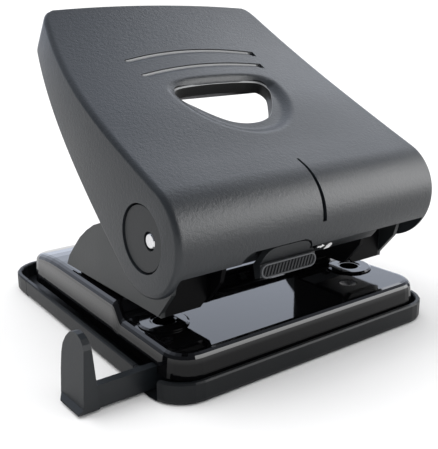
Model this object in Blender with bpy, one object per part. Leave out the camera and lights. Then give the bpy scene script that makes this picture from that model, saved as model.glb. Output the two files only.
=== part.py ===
"""Two-hole desk punch: a pressed steel base on a plastic chip tray, two punch towers and a raised handle.

X runs along the handle's axle, Y to the rear and Z up. The origin lies on the resting face, midway
between the two punch pins. Lengths in this file are millimetres; make() turns them into metres.
"""

from math import atan2, cos, hypot, pi, radians, sin, sqrt

import bpy
from mathutils import Matrix, Vector

MM = 0.001
GAP = 0.3                       # clearance between pieces that touch
TOOL = 60.0                     # half-length of a cutter that runs right through

# ---- driving dimensions -------------------------------------------------------------------------
PIN_X = 40.0                    # two holes, 80 mm apart
PIN_R = 3.0
PIN_TIP_Z = 19.9
PIN_HEAD_Z = 45.25
PIN_HEAD_R = 3.9
PIN_HEAD_H = 2.0

PIVOT_Y, PIVOT_Z = -11.2, 44.2  # axle centre, seen from the side
AXLE_R = 2.4
AXLE_END = 51.0
CAM_REACH = 13.0                # axle to the centre of the cam's tip
CAM_ANGLE = 17.5                # tip above the horizontal at rest, below it at full press
CAM_TIP_R = 2.5
CAM_HUB_R = 4.4
CAM_HALF = 3.5

TRAY_FRONT_HALF, TRAY_REAR_HALF = 55.8, 50.35
TRAY_FRONT, TRAY_REAR = -26.5, 94.5
TRAY_CORNERS = (11.5, 13.0)     # front and rear
TRAY_RIM_Z = 6.7
TRAY_WALL = 1.7
TRAY_FLOOR = 1.5

PLATE_FRONT_HALF, PLATE_REAR_HALF = 51.6, 47.3
PLATE_FRONT, PLATE_REAR = -24.2, 81.5
PLATE_CORNERS = (8.5, 9.0)
PLATE_ROLL = 2.6                # radius of the rolled edge
PLATE_SKIRT_Z = 6.2
PLATE_T = 1.5
SHELF_Z, PLATEAU_Z = 13.7, 18.5
STEP_FRONT, STEP_REAR = 9.0, 14.0   # the step that stops the paper's edge
REAR_DROP = 3.8                 # how far the plateau falls towards its rear edge

TOWER_OUT, TOWER_IN = 46.8, 28.5
SHEET = 1.5
TOWER_FOOT_Z = 20.0
CROWN_R = 7.8                   # tower plates around the axle
TOOTH_R = 9.7                   # catch on the inner plates that holds the lock bolt
BLOCK_TOP = 28.5                # top of the pin's guide block
SPRING_WIRE_R = 0.4
SPRING_R = 3.7
SPRING_TURNS = 6

NOSE_Y, NOSE_Z, NOSE_R = -9.0, 44.5, 16.5
HANDLE_HALF = 51.6
HANDLE_TAPER = 8.6              # how much each side narrows at the rear
HANDLE_WALL = 2.0
INNER_HALF = HANDLE_HALF - HANDLE_WALL
NOSE_LIP_Z = 36.0               # lower edge of the nose's front, between the cheeks
HANDLE_ROUND = 1.6              # radius between the top and the cheeks
HANDLE_BOW = 2.2                # how far the middle of the rear edge stands up
REAR_TOP = (62.5, 102.1)
REAR_BOTTOM = (70.6, 90.8)
REAR_ROUND = 3.6                # radius of the rear corners, seen from above
CAP_Y, CAP_Z = -7.8, 44.1       # round recess around the axle's end
CAP_R = 10.0

GUIDE_FOOT = -75.8              # outermost point of the paper guide
GUIDE_OUT = -74.2               # outer face of its upright
GUIDE_Y0, GUIDE_Y1 = -12.6, -9.8
GUIDE_Z0, GUIDE_Z1 = 0.9, 7.7
GUIDE_THICK = 4.9               # upright, measured at its foot
GUIDE_IN = 28.0
GUIDE_SCREW_Z = 4.4
GUIDE_SLOT_Y = -18.6            # front end of the gap that the guide passes through

FLAP_Y0, FLAP_Y1 = -6.6, 75.6
FLAP_SET = 1.4                  # hinge line of the chip flap, in from the tray's side
FLAP_Z = 2.1
TRAY_LEAN = atan2(TRAY_FRONT_HALF - TRAY_REAR_HALF, TRAY_REAR - TRAY_FRONT)

LOCK_X0, LOCK_X1 = -19.5, 0.5   # lock button
LOCK_TRAVEL = 8.0
LOCK_A = 205.0                  # where the bolt lies around the axle, in degrees
BOLT_R0, BOLT_R1 = 8.5, 10.1
BOLT_END = 0.7 - TOWER_IN + 1.2


# ---- mesh helpers -------------------------------------------------------------------------------
def material(name, colour, roughness, metallic=0.0):
    mat = bpy.data.materials.new(name)
    mat.use_nodes = True
    shader = mat.node_tree.nodes["Principled BSDF"]
    shader.inputs["Base Color"].default_value = (*colour, 1.0)
    shader.inputs["Roughness"].default_value = roughness
    shader.inputs["Metallic"].default_value = metallic
    return mat


def make(name, verts, faces, mat=None, origin=(0.0, 0.0, 0.0)):
    """A mesh object from points in millimetres, with its origin at the given point."""
    mesh = bpy.data.meshes.new(name)
    local = [tuple((v[i] - origin[i]) * MM for i in range(3)) for v in verts]
    mesh.from_pydata(local, [], faces)
    mesh.update()
    obj = bpy.data.objects.new(name, mesh)
    obj.location = [c * MM for c in origin]
    bpy.context.scene.collection.objects.link(obj)
    if mat:
        mesh.materials.append(mat)
    bpy.context.view_layer.update()
    return obj


def finish(obj, angle=32.0):
    obj.data.shade_smooth()
    obj.data.set_sharp_from_angle(angle=radians(angle))
    return obj


def combine(obj, tool, operation):
    """Boolean obj with tool, keep the result as obj's mesh and delete the tool."""
    mod = obj.modifiers.new("bool", "BOOLEAN")
    mod.object = tool
    mod.operation = operation
    mod.solver = "EXACT"
    graph = bpy.context.evaluated_depsgraph_get()
    mesh = bpy.data.meshes.new_from_object(obj.evaluated_get(graph))
    obj.modifiers.clear()
    old = obj.data
    obj.data = mesh
    bpy.data.meshes.remove(old)
    bpy.data.objects.remove(tool)
    return obj


def cut(obj, *tools):
    for tool in tools:
        combine(obj, tool, "DIFFERENCE")
    return obj


def add(obj, *tools):
    for tool in tools:
        combine(obj, tool, "UNION")
    return obj


def loft(name, rings, mat=None, origin=(0.0, 0.0, 0.0), caps=True, closed=False):
    """Join equal closed rings of points; caps fill the two ends, closed joins the last to the first."""
    count = len(rings[0])
    verts = [p for ring in rings for p in ring]
    faces = []
    pairs = len(rings) if closed else len(rings) - 1
    for k in range(pairs):
        a, b = k * count, ((k + 1) % len(rings)) * count
        for i in range(count):
            j = (i + 1) % count
            faces.append((a + i, a + j, b + j, b + i))
    if caps and not closed:
        faces.append(tuple(reversed(range(count))))
        last = (len(rings) - 1) * count
        faces.append(tuple(range(last, last + count)))
    return outward(make(name, verts, faces, mat, origin))


def outward(obj):
    """Turn the whole mesh inside out if its faces point in."""
    mesh = obj.data
    mesh.calc_loop_triangles()
    pts = mesh.vertices
    volume = sum(pts[t.vertices[0]].co.dot(pts[t.vertices[1]].co.cross(pts[t.vertices[2]].co))
                 for t in mesh.loop_triangles)
    if volume < 0:
        mesh.flip_normals()
    return obj


def prism(name, outline, axis, low, high, mat=None, origin=(0.0, 0.0, 0.0)):
    """Extrude an outline along X (points are Y, Z), Y (X, Z) or Z (X, Y)."""
    def place(point, level):
        a, b = point
        return {"X": (level, a, b), "Y": (a, level, b), "Z": (a, b, level)}[axis]
    rings = [[place(p, level) for p in outline] for level in (low, high)]
    return loft(name, rings, mat, origin)


def box(name, low, high, mat=None, origin=(0.0, 0.0, 0.0)):
    outline = [(low[0], low[1]), (high[0], low[1]), (high[0], high[1]), (low[0], high[1])]
    return prism(name, outline, "Z", low[2], high[2], mat, origin)


def turned(name, profile, centre, axis="Z", mat=None, sides=24, origin=(0.0, 0.0, 0.0)):
    """Turn (radius, height) points about an axis through centre; a radius of 0 closes an end."""
    verts, rings, faces = [], [], []
    for r, h in profile:
        steps = 1 if r == 0 else sides
        ring = []
        for i in range(steps):
            a = 2 * pi * i / sides
            p = {"Z": (r * cos(a), r * sin(a), h), "X": (h, r * cos(a), r * sin(a)),
                 "Y": (r * sin(a), h, r * cos(a))}[axis]
            ring.append(len(verts))
            verts.append(tuple(p[k] + centre[k] for k in range(3)))
        rings.append(ring)
    ends_open = profile[0][0] != 0
    pairs = list(zip(rings, rings[1:])) + ([(rings[-1], rings[0])] if ends_open else [])
    for a, b in pairs:
        for i in range(sides):
            j = (i + 1) % sides
            quad = (a[i % len(a)], a[j % len(a)], b[j % len(b)], b[i % len(b)])
            face = tuple(dict.fromkeys(quad))
            if len(face) > 2:
                faces.append(face)
    return outward(make(name, verts, faces, mat, origin))


def rod(name, radius, low, high, centre, axis="Z", mat=None, sides=24, origin=(0.0, 0.0, 0.0), edge=0.0):
    """A round bar with an optional chamfer; low and high are positions along the axis."""
    base = list(centre)
    base["XYZ".index(axis)] = 0.0
    profile = [(0, low), (radius - edge, low), (radius, low + edge),
               (radius, high - edge), (radius - edge, high), (0, high)]
    if edge == 0:
        profile = [(0, low), (radius, low), (radius, high), (0, high)]
    return turned(name, profile, base, axis, mat, sides, origin)


def arc(centre_a, centre_b, radius, start, end, count):
    """Points on a circle from start to end degrees, both ends included."""
    return [(centre_a + radius * cos(radians(start + (end - start) * i / (count - 1))),
             centre_b + radius * sin(radians(start + (end - start) * i / (count - 1)))) for i in range(count)]


def inset(loop, distance):
    """Move a closed loop inwards by a distance, mitring its corners; the loop runs anticlockwise."""
    moved = []
    for i, p in enumerate(loop):
        a, b = loop[i - 1], loop[(i + 1) % len(loop)]
        d1, d2 = (p[0] - a[0], p[1] - a[1]), (b[0] - p[0], b[1] - p[1])
        l1, l2 = hypot(*d1), hypot(*d2)
        n1, n2 = (-d1[1] / l1, d1[0] / l1), (-d2[1] / l2, d2[0] / l2)
        scale = distance / (1 + n1[0] * n2[0] + n1[1] * n2[1])
        moved.append((p[0] + (n1[0] + n2[0]) * scale, p[1] + (n1[1] + n2[1]) * scale))
    return moved


def ladder(loop_ids):
    """Fill a loop that is symmetric about its first-to-last axis with cross strips."""
    n = len(loop_ids) // 2
    right, left = loop_ids[:n], loop_ids[n:][::-1]
    return [(left[i], right[i], right[i + 1], left[i + 1]) for i in range(n - 1)]


def clamp(value, low=0.0, high=1.0):
    return max(low, min(high, value))


def smooth(value):
    t = clamp(value)
    return t * t * (3 - 2 * t)


# ---- pressed base and chip tray -----------------------------------------------------------------
def plan_loop(front_half, rear_half, front, rear, corners, extra=()):
    """Right side from front to rear, then the left side back; rungs of equal Y face each other."""
    def side(y):
        return front_half + (rear_half - front_half) * (y - front) / (rear - front)
    near, far = corners
    right = arc(side(front + near) - near, front + near, near, -90, 0, 7)
    right += [(side(y), y) for y in extra]
    right += arc(side(rear - far) - far, rear - far, far, 0, 90, 7)
    return right + [(-x, y) for x, y in reversed(right)]


def tray_half(y):
    return TRAY_FRONT_HALF + (TRAY_REAR_HALF - TRAY_FRONT_HALF) * (y - TRAY_FRONT) / (TRAY_REAR - TRAY_FRONT)


FLAP_X = FLAP_SET - tray_half(0.0)


def sheet_z(y):
    """Height of the base plate's top along Y: front shelf, paper stop, plateau and its fall to the rear."""
    rise = (PLATEAU_Z - SHELF_Z) * smooth((y - STEP_FRONT) / (STEP_REAR - STEP_FRONT))
    return SHELF_Z + rise - REAR_DROP * (max(0.0, y - 56.0) / (PLATE_REAR - 56.0)) ** 2


def pan_shell(name, outer, inner, mat):
    """A closed shell from outer rings (open edge first) and inner rings (innermost first)."""
    rings = outer + inner
    count = len(rings[0])
    verts = [p for ring in rings for p in ring]
    faces = []
    for k in range(len(rings) - 1):
        if k == len(outer) - 1:
            continue
        for i in range(count):
            j = (i + 1) % count
            faces.append((k * count + i, k * count + j, (k + 1) * count + j, (k + 1) * count + i))
    last = (len(rings) - 1) * count
    for i in range(count):
        j = (i + 1) % count
        faces.append((last + i, last + j, j, i))
    crown = (len(outer) - 1) * count
    faces += ladder(list(range(crown, crown + count)))
    start = len(outer) * count
    faces += [tuple(reversed(f)) for f in ladder(list(range(start, start + count)))]
    return outward(make(name, verts, faces, mat))


def base_plate(mat):
    steps = [STEP_FRONT - 8] + [STEP_FRONT + (STEP_REAR - STEP_FRONT) * k / 6 for k in range(7)]
    steps += [40.0, 56.0, 62.0, 67.0]
    plan = plan_loop(PLATE_FRONT_HALF, PLATE_REAR_HALF, PLATE_FRONT, PLATE_REAR, PLATE_CORNERS, steps)

    def ring(distance, drop=None, level=None):
        loop = inset(plan, distance)
        return [(x, y, level if level is not None else sheet_z(y) - drop) for x, y in loop]

    outer = [ring(0, level=PLATE_SKIRT_Z)]
    inner = []
    for k in range(5):
        a = radians(90 * k / 4)
        outer.append(ring(0.5 + PLATE_ROLL * (1 - cos(a)), drop=PLATE_ROLL * (1 - sin(a))))
        inner.append(ring(0.5 + PLATE_T + (PLATE_ROLL - PLATE_T) * (1 - cos(a)),
                          drop=PLATE_T + (PLATE_ROLL - PLATE_T) * (1 - sin(a))))
    inner = inner[::-1] + [ring(PLATE_T, level=PLATE_SKIRT_Z)]
    plate = pan_shell("base_plate", outer, inner, mat)
    for side in (-1, 1):
        cut(plate, rod("t", 5.4, 9, 16, (side * PIN_X, 0, 0)))
        for y in RIVET_YS:
            cut(plate, rod("t", 1.85, 15, 20, (side * RIVET_X, y, 0), sides=16))
        for x, y in screw_places(side):
            cut(plate, rod("t", 1.55, 10, 22, (x, y, 0), sides=16))
    cut(plate, box("t", (-TOOL, GUIDE_Y0 - 0.8, 0), (-40, GUIDE_Y1 + 0.8, GUIDE_Z1 + 0.7)))
    return finish(plate, 40)


def screw_places(side):
    return ((side * 14.0, 62.0), (side * 14.0, 36.0))


def chip_tray(mat):
    plan = plan_loop(TRAY_FRONT_HALF, TRAY_REAR_HALF, TRAY_FRONT, TRAY_REAR, TRAY_CORNERS, (0.0, 40.0))

    def ring(distance, level):
        return [(x, y, level) for x, y in inset(plan, distance)]

    outside = [ring(1.2, 0.0), ring(0.3, 0.5), ring(0.0, 1.4), ring(0.0, TRAY_RIM_Z - 0.5),
               ring(0.4, TRAY_RIM_Z)]
    inside = [ring(TRAY_WALL - 0.3, TRAY_RIM_Z), ring(TRAY_WALL, TRAY_RIM_Z - 0.5),
              ring(TRAY_WALL + 0.2, TRAY_FLOOR)]
    tray = loft("chip_tray", outside + inside, mat)
    lug_ends = (FLAP_Y0 - GAP - 2.0, FLAP_Y1 + GAP + 2.4)
    for y0, y1 in ((lug_ends[0], FLAP_Y0 + 1), (FLAP_Y1 - 1, lug_ends[1])):
        add(tray, lean(box("t", (FLAP_X - 0.6, y0, 0.4), (FLAP_X + 2.2, y1, 4.3))))
    flap_tool = box("t", (FLAP_X - 12, FLAP_Y0 - GAP, -1), (FLAP_X + 1.8, FLAP_Y1 + GAP, 12))
    bore = rod("t", 0.95, lug_ends[0] + 0.8, lug_ends[1] - 0.8, (FLAP_X, 0, FLAP_Z), "Y", sides=12)
    cut(tray, lean(flap_tool), lean(bore), box("t", (-TOOL, GUIDE_SLOT_Y, 0.5), (-51, GUIDE_Y1 + 0.5, 12)),
        box("t", (-52, GUIDE_Y0 - 0.5, 0.55), (49.5, GUIDE_Y1 + 0.45, 3)))
    for side in (-1, 1):
        for x, y in screw_places(side):
            add(tray, rod("t", 4.4, 0.7, sheet_z(y + 4.4) - PLATE_T - GAP, (x, y, 0), sides=20))
            cut(tray, rod("t", 3.1, -1, 2.6, (x, y, 0), sides=20), rod("t", 1.6, 2, 20, (x, y, 0), sides=16))
    return finish(tray)


def lean(obj):
    """Turn an object built parallel to Y to the tray's tapered side, about the hinge line at Y = 0."""
    pivot = Vector((FLAP_X * MM, 0.0, 0.0)) - obj.location
    turn = Matrix.Translation(pivot) @ Matrix.Rotation(-TRAY_LEAN, 4, "Z") @ Matrix.Translation(-pivot)
    obj.data.transform(turn)
    return obj


def chip_flap(mat):
    origin = (FLAP_X, 0.0, FLAP_Z)
    x_out = FLAP_X - FLAP_SET
    outline = [(x_out + 1.4, TRAY_RIM_Z), (x_out + 0.3, TRAY_RIM_Z), (x_out, TRAY_RIM_Z - 0.4),
               (x_out, 1.6), (x_out + 0.4, 0.8), (x_out + 1.6, 0.6), (x_out + 2.7, 1.0),
               (x_out + 3.0, 2.1), (x_out + 2.7, 3.1), (x_out + 1.6, 3.6)]
    flap = prism("chip_flap", outline, "Y", FLAP_Y0, FLAP_Y1, mat, origin)
    return finish(lean(cut(flap, rod("t", 0.95, -TOOL, 2 * TOOL, (FLAP_X, 0, FLAP_Z), "Y", sides=12))))


def flap_pin(mat):
    low, high = FLAP_Y0 - GAP - 0.9, FLAP_Y1 + GAP + 1.3
    return finish(lean(rod("flap_hinge_pin", 0.6, low, high, (FLAP_X, 0, FLAP_Z), "Y", mat, sides=12)))


def tray_screw(name, x, y, mat):
    top = sheet_z(y) + 0.2
    profile = [(0, 1.6), (0.9, 1.6), (0.9, 0.6), (2.6, 0.6), (2.6, 2.0), (1.25, 2.2), (1.25, top), (0, top)]
    return finish(turned(name, profile, (x, y, 0), "Z", mat, 16, (x, y, 0.6)))


# ---- paper guide --------------------------------------------------------------------------------
def paper_guide(mat):
    """Sliding arm with a tapered upright, round at the top, that the paper's edge rests against."""
    arm = box("paper_guide", (GUIDE_OUT + 1, GUIDE_Y0, GUIDE_Z0), (GUIDE_IN, GUIDE_Y1, GUIDE_Z1), mat)
    face = [(-13.2, 1.9), (-13.2, 19.0), (-12.6, 20.4), (-11.4, 21.7), (-9.6, 22.5), (-7.4, 22.6),
            (-5.0, 21.7), (-2.8, 19.7), (-1.0, 17.0), (-0.2, 14.0), (0.2, 9.0), (0.2, 1.9)]
    slab = loft("t", [[(x + taper * (z - 1.9), y, z) for y, z in face]
                      for x, taper in ((GUIDE_OUT, 0.055), (GUIDE_OUT + GUIDE_THICK, -0.09))])
    foot = loft("t", [[(GUIDE_FOOT + step, -13.2, z), (GUIDE_OUT + GUIDE_THICK, -13.2, z), (GUIDE_OUT + GUIDE_THICK, rear, z),
                       (GUIDE_FOOT + step, rear, z)]
                      for step, rear, z in ((0.0, -2.6, 0.9), (0.2, -2.2, 1.3), (1.7, 0.1, 2.3))])
    add(arm, slab, foot)
    cut(arm, rod("t", 1.15, -14, -8, (GUIDE_IN - 3.2, 0, GUIDE_SCREW_Z), "Y", sides=16))
    return finish(arm)


def guide_stop(mat):
    x = GUIDE_IN - 3.2
    y0, y1 = GUIDE_Y0 - 1.3, GUIDE_Y1 + GAP
    profile = [(0, y0), (2.0, y0), (2.0, y0 + 1.0), (0.8, y0 + 1.0), (0.8, y1), (0, y1)]
    return finish(turned("guide_stop_screw", profile, (x, 0, GUIDE_SCREW_Z), "Y", mat, 16,
                         (x, y0, GUIDE_SCREW_Z)))


def guide_keeper(mat):
    low, high = GUIDE_Y0 - 0.6, GUIDE_Y1 + 0.6
    outline = [(low - 1.2, 1.9), (low, 1.9), (low, GUIDE_Z1 + 0.5), (high, GUIDE_Z1 + 0.5), (high, 1.9),
               (high + 1.2, 1.9), (high + 1.2, GUIDE_Z1 + 1.7), (low - 1.2, GUIDE_Z1 + 1.7)]
    return finish(prism("guide_keeper", outline, "X", -44, -34, mat))


# ---- towers, dies and pins ----------------------------------------------------------------------
RIVET_X = 37.6
RIVET_YS = (21.0, 42.0)


# rear slope of a tower's outer plate
TOWER_BACK = ((18.0, 42.2), (24.2, 40.3), (28.6, 38.6), (33.7, 35.6), (38.6, 32.0), (43.0, 27.7), (46.9, 23.6))


def tower_outline(tooth=False):
    """Side view of a tower plate over the axle; the inner plates are shorter and carry the catch."""
    points = [(-7.8, TOWER_FOOT_Z), (-14.7, 28.4)] + arc(PIVOT_Y, PIVOT_Z, CROWN_R, 200, 60, 14)
    if tooth:
        points[4:5] = [(PIVOT_Y + r * cos(radians(a)), PIVOT_Z + r * sin(radians(a)))
                       for r, a in ((CROWN_R, 188), (TOOTH_R, 188), (TOOTH_R, 177), (CROWN_R, 177))]
        return points + [(16.0, 42.4), (16.0, TOWER_FOOT_Z)]
    return points + list(TOWER_BACK) + [(49.0, TOWER_FOOT_Z)]


def tower(name, side, mat):
    def across(outline, a, b, label="t"):
        low, high = sorted((side * a, side * b))
        return prism(label, outline, "X", low, high, mat if label != "t" else None)

    body = across(tower_outline(), TOWER_OUT - SHEET, TOWER_OUT, name)
    inner = across(tower_outline(tooth=True), TOWER_IN, TOWER_IN + SHEET)
    x0, x1 = TOWER_IN + 0.5, TOWER_OUT - 0.5
    web = prism("t", [(side * x0, 23.0), (side * (x0 + 3.5), TOWER_FOOT_Z - 0.4), (side * x1, TOWER_FOOT_Z - 0.4),
                      (side * x1, 33.0), (side * x0, 33.0)], "Y", -8.7, -7.2)
    lows, highs = sorted((side * (TOWER_IN + 0.4), side * (TOWER_OUT - 3.0)))
    foot_z = PLATEAU_Z + GAP
    foot = box("t", (lows, 14.6, foot_z), (highs, 45.0, foot_z + SHEET))
    lows, highs = sorted((side * (TOWER_OUT - 3.6), side * (TOWER_OUT - 0.4)))
    joggle = box("t", (lows, 14.6, TOWER_FOOT_Z + 0.1), (highs, 45.0, TOWER_FOOT_Z + 1.6))
    add(body, joggle, foot, web, inner)
    cut(body, rod("t", 3.9, -TOOL, TOOL, (0, PIVOT_Y, PIVOT_Z), "X"))
    for y in RIVET_YS:
        cut(body, rod("t", 1.85, 10, 30, (side * RIVET_X, y, 0), sides=16))
    return finish(body)


def rivet(name, x, y, mat):
    top, low = PLATEAU_Z + GAP + SHEET + 0.3, PLATEAU_Z - PLATE_T - GAP
    profile = [(0, low - 1.0), (2.0, low - 0.9), (2.6, low), (1.5, low), (1.5, top), (2.9, top),
               (2.3, top + 0.9), (1.2, top + 1.3), (0, top + 1.3)]
    return finish(turned(name, profile, (x, y, 0), "Z", mat, 16, (x, y, top)))


def axle_bush(name, side, mat):
    out = TOWER_OUT - SHEET
    a, b, c, d = out - 1.2, out - GAP, out + SHEET - 0.3, out + SHEET - 0.3
    profile = [(2.75, a), (5.0, a), (5.0, b), (3.55, b), (3.55, c), (2.75, d)]
    if side < 0:
        profile = [(r, -h) for r, h in profile]
    return finish(turned(name, profile, (0, PIVOT_Y, PIVOT_Z), "X", mat, 24))


def die_bush(name, side, mat):
    top = SHELF_Z + 0.8
    profile = [(3.35, 10.4), (5.0, 10.4), (5.0, SHELF_Z + GAP), (7.9, SHELF_Z + GAP), (7.9, SHELF_Z + 0.4),
               (7.2, top), (4.2, top), (3.7, top - 0.3), (3.35, top - 0.3)]
    return finish(turned(name, profile, (side * PIN_X, 0, 0), "Z", mat, 32))


def guide_block(name, side, mat):
    low, high = sorted((side * (TOWER_IN + SHEET + GAP), side * (TOWER_OUT - SHEET - GAP)))
    block = box(name, (low, -6.9, TOWER_FOOT_Z - 0.4), (high, 6.6, BLOCK_TOP), mat)
    cut(block, rod("t", PIN_R + 0.35, 10, 40, (side * PIN_X, 0, 0), sides=32))
    return finish(block)


def punch_pin(name, side, mat):
    neck, head = PIN_HEAD_Z - PIN_HEAD_H, PIN_HEAD_R
    profile = [(0, PIN_TIP_Z + 0.9), (PIN_R, PIN_TIP_Z), (PIN_R, neck), (head, neck), (head, PIN_HEAD_Z - 0.5),
               (head - 0.5, PIN_HEAD_Z), (0, PIN_HEAD_Z)]
    return finish(turned(name, profile, (side * PIN_X, 0, 0), "Z", mat, 28, (side * PIN_X, 0, PIN_TIP_Z)))


def pin_spring(name, side, mat):
    """A coil from the guide block up to the pin's head, drawn as a swept ring."""
    low, high = BLOCK_TOP + GAP + SPRING_WIRE_R, PIN_HEAD_Z - PIN_HEAD_H - GAP - SPRING_WIRE_R
    steps, sides = SPRING_TURNS * 12, 6
    rings = []
    for k in range(steps + 1):
        turn = 2 * pi * k / 12
        lift = low + (high - low) * k / steps
        ring = []
        for i in range(sides):
            a = 2 * pi * i / sides
            r = SPRING_R + SPRING_WIRE_R * cos(a)
            ring.append((side * PIN_X + r * cos(turn), r * sin(turn), lift + SPRING_WIRE_R * sin(a)))
        rings.append(ring)
    return finish(loft(name, rings, mat), 60)


# ---- handle -------------------------------------------------------------------------------------
def half_width(y):
    """Half of the handle's width: it narrows more and more towards the rear."""
    into_corner = clamp((y - (REAR_TOP[0] - REAR_ROUND)) / REAR_ROUND)
    corner = REAR_ROUND * 0.55 * (1 - sqrt(1 - into_corner ** 2))
    return HANDLE_HALF - HANDLE_TAPER * max(0.0, (y + 8) / 72) ** 3 - corner


def top_z(y):
    """Height of the handle's top: a line that curls up towards the rear."""
    return 66.6 + 0.45 * y + 7.9 * max(0.0, (y + 8) / 72) ** 3


def nose_radius(angle):
    return NOSE_R + 1.5 * smooth((angle - 200) / 112)


TOP_STATIONS = (62.5, 61.6, 59.5, 53.0, 46.0, 38.0, 29.0, 19.0, 9.0, 0.0, -8.0)
TOP_TANGENT, BOTTOM_TANGENT = 114.0, 312.0
NOSE_TOP_ANGLES = (114.0, 124.0, 135.0, 146.0, 157.0, 168.5)
NOSE_LOW_ANGLES = (297.0, 281.0, 264.0, 247.0, 230.0, 211.0, 196.0)


def on_nose(angle, radius):
    return (NOSE_Y + radius * cos(radians(angle)), NOSE_Z + radius * sin(radians(angle)))


def handle_outline():
    """Side view: top points from the rear, the nose's front point, then bottom points back to the rear."""
    top = [(y, top_z(y)) for y in TOP_STATIONS] + [on_nose(a, NOSE_R) for a in NOSE_TOP_ANGLES]
    tangent = on_nose(BOTTOM_TANGENT, nose_radius(BOTTOM_TANGENT))
    spread = [(REAR_TOP[0] - y) / (REAR_TOP[0] - TOP_STATIONS[-2]) for y in TOP_STATIONS[:-1]]
    low = [(REAR_BOTTOM[0] + (tangent[0] - REAR_BOTTOM[0]) * s,
            REAR_BOTTOM[1] + (tangent[1] - REAR_BOTTOM[1]) * s) for s in spread]
    low += [on_nose(a, nose_radius(a)) for a in NOSE_LOW_ANGLES]
    return top + [on_nose(181.0, NOSE_R)] + low[::-1]


def bowed(x, y, z):
    """The crown of the handle: early along its top, only near the rear end along its lower edges."""
    start, length = (-8, 26) if z > 60 + 0.45 * y else (22, 44)
    amount = HANDLE_BOW * smooth((y - start) / length) * (1 - (x / HANDLE_HALF) ** 2)
    return (x, y + amount * 0.35, z + amount)


def handle_solid(name, distance, end_half_offset, rounding, mat=None, open_below=False):
    """The handle's outline swept across X, with rounded ends; open_below drops the underside away."""
    base = handle_outline()
    rungs = (len(base) - 1) // 2
    width_at = [half_width(base[i][0]) for i in range(rungs)] + [HANDLE_HALF]
    widths = width_at + width_at[:rungs][::-1]
    sections = []
    for k in range(5):
        a = radians(90 * k / 4)
        sections.append((rounding * (1 - cos(a)), distance + rounding * (1 - sin(a))))
    rings = []
    stations = [(s, 1.0) for s in sections] + [(sections[-1], f) for f in (0.66, 0.33, 0.0)]
    for sign in (-1, 1):
        for (pull, shrink), factor in (stations if sign < 0 else stations[:-1][::-1]):
            loop = inset(base, shrink)
            if open_below:
                loop = drop_underside(base, loop, shrink)
            ring = []
            for (y, z), w in zip(loop, widths):
                x = sign * (w - end_half_offset - pull) * factor
                ring.append(bowed(x, y, z))
            rings.append(ring)
    count, verts, faces = len(base), [p for r in rings for p in r], []
    for k in range(len(rings) - 1):
        for i in range(count):
            j = (i + 1) % count
            faces.append((k * count + i, k * count + j, (k + 1) * count + j, (k + 1) * count + i))
    for start in (0, (len(rings) - 1) * count):
        for i in range(rungs - 1):
            rung = (start + i, start + i + 1, start + count - 2 - i, start + count - 1 - i)
            faces.append(rung if start else rung[::-1])
        tip = (start + rungs - 1, start + rungs, start + rungs + 1)
        faces.append(tip if start else tip[::-1])
    return outward(make(name, verts, faces, mat))


def drop_underside(base, loop, shrink):
    """Carry the lower points of the inner outline far below the handle, so that a cut leaves it open."""
    rungs = (len(base) - 1) // 2
    slope = (REAR_BOTTOM[0] - REAR_TOP[0], REAR_BOTTOM[1] - REAR_TOP[1])
    length = hypot(*slope)
    down = (slope[0] / length, slope[1] / length)
    result = list(loop)
    for i in range(rungs + 2, len(base)):
        y, z = base[i]
        push = down if y > 2 else (0.0, -1.0)
        result[i] = (y + push[0] * 26, z + push[1] * 26)
    y, z = result[-1]
    result[-1] = (y + down[1] * shrink, z - down[0] * shrink)
    return result


# right half of the finger window seen from above, from its rear edge round to its front: offset and Y
WINDOW_X = 0.7
WINDOW_EDGE = ((0.0, 26.2), (8.0, 26.0), (14.0, 25.6), (16.9, 25.0), (18.3, 23.9), (18.8, 22.3), (18.6, 20.4),
               (17.5, 18.4), (15.6, 15.8), (13.2, 12.7), (10.2, 9.8), (7.2, 7.9), (3.6, 6.8), (0.0, 6.5))


def window_outline(grow=0.0):
    """The D-shaped finger window: straight towards the rear, round towards the nose."""
    wide, deep = 1 + grow / 18.8, 1 + grow / 9.8
    half = [(x * wide, 16.4 + (y - 16.4) * deep) for x, y in WINDOW_EDGE]
    return ([(WINDOW_X - x, y) for x, y in half]
            + [(WINDOW_X + x, y) for x, y in half[-2:0:-1]])


SLOPE = 30.0                    # slope of the handle's top near the window, in degrees


def tilted_prism(name, outline, depth_low, depth_high):
    """A prism square to the handle's top; outline points are X and Y, depths count down from the top."""
    a = radians(SLOPE)
    rings = []
    for depth in (depth_high, depth_low):
        rings.append([(x, y + sin(a) * depth, top_z(y) - cos(a) * depth) for x, y in outline])
    return loft(name, rings)


def ring_sector(name, r0, r1, a0, a1, x0, x1, count=7, mat=None, origin=(0.0, 0.0, 0.0)):
    """A curved slab about the nose's centre."""
    outline = arc(NOSE_Y, NOSE_Z, r1, a0, a1, count) + arc(NOSE_Y, NOSE_Z, r0, a1, a0, count)
    return prism(name, outline, "X", x0, x1, mat, origin)


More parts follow.
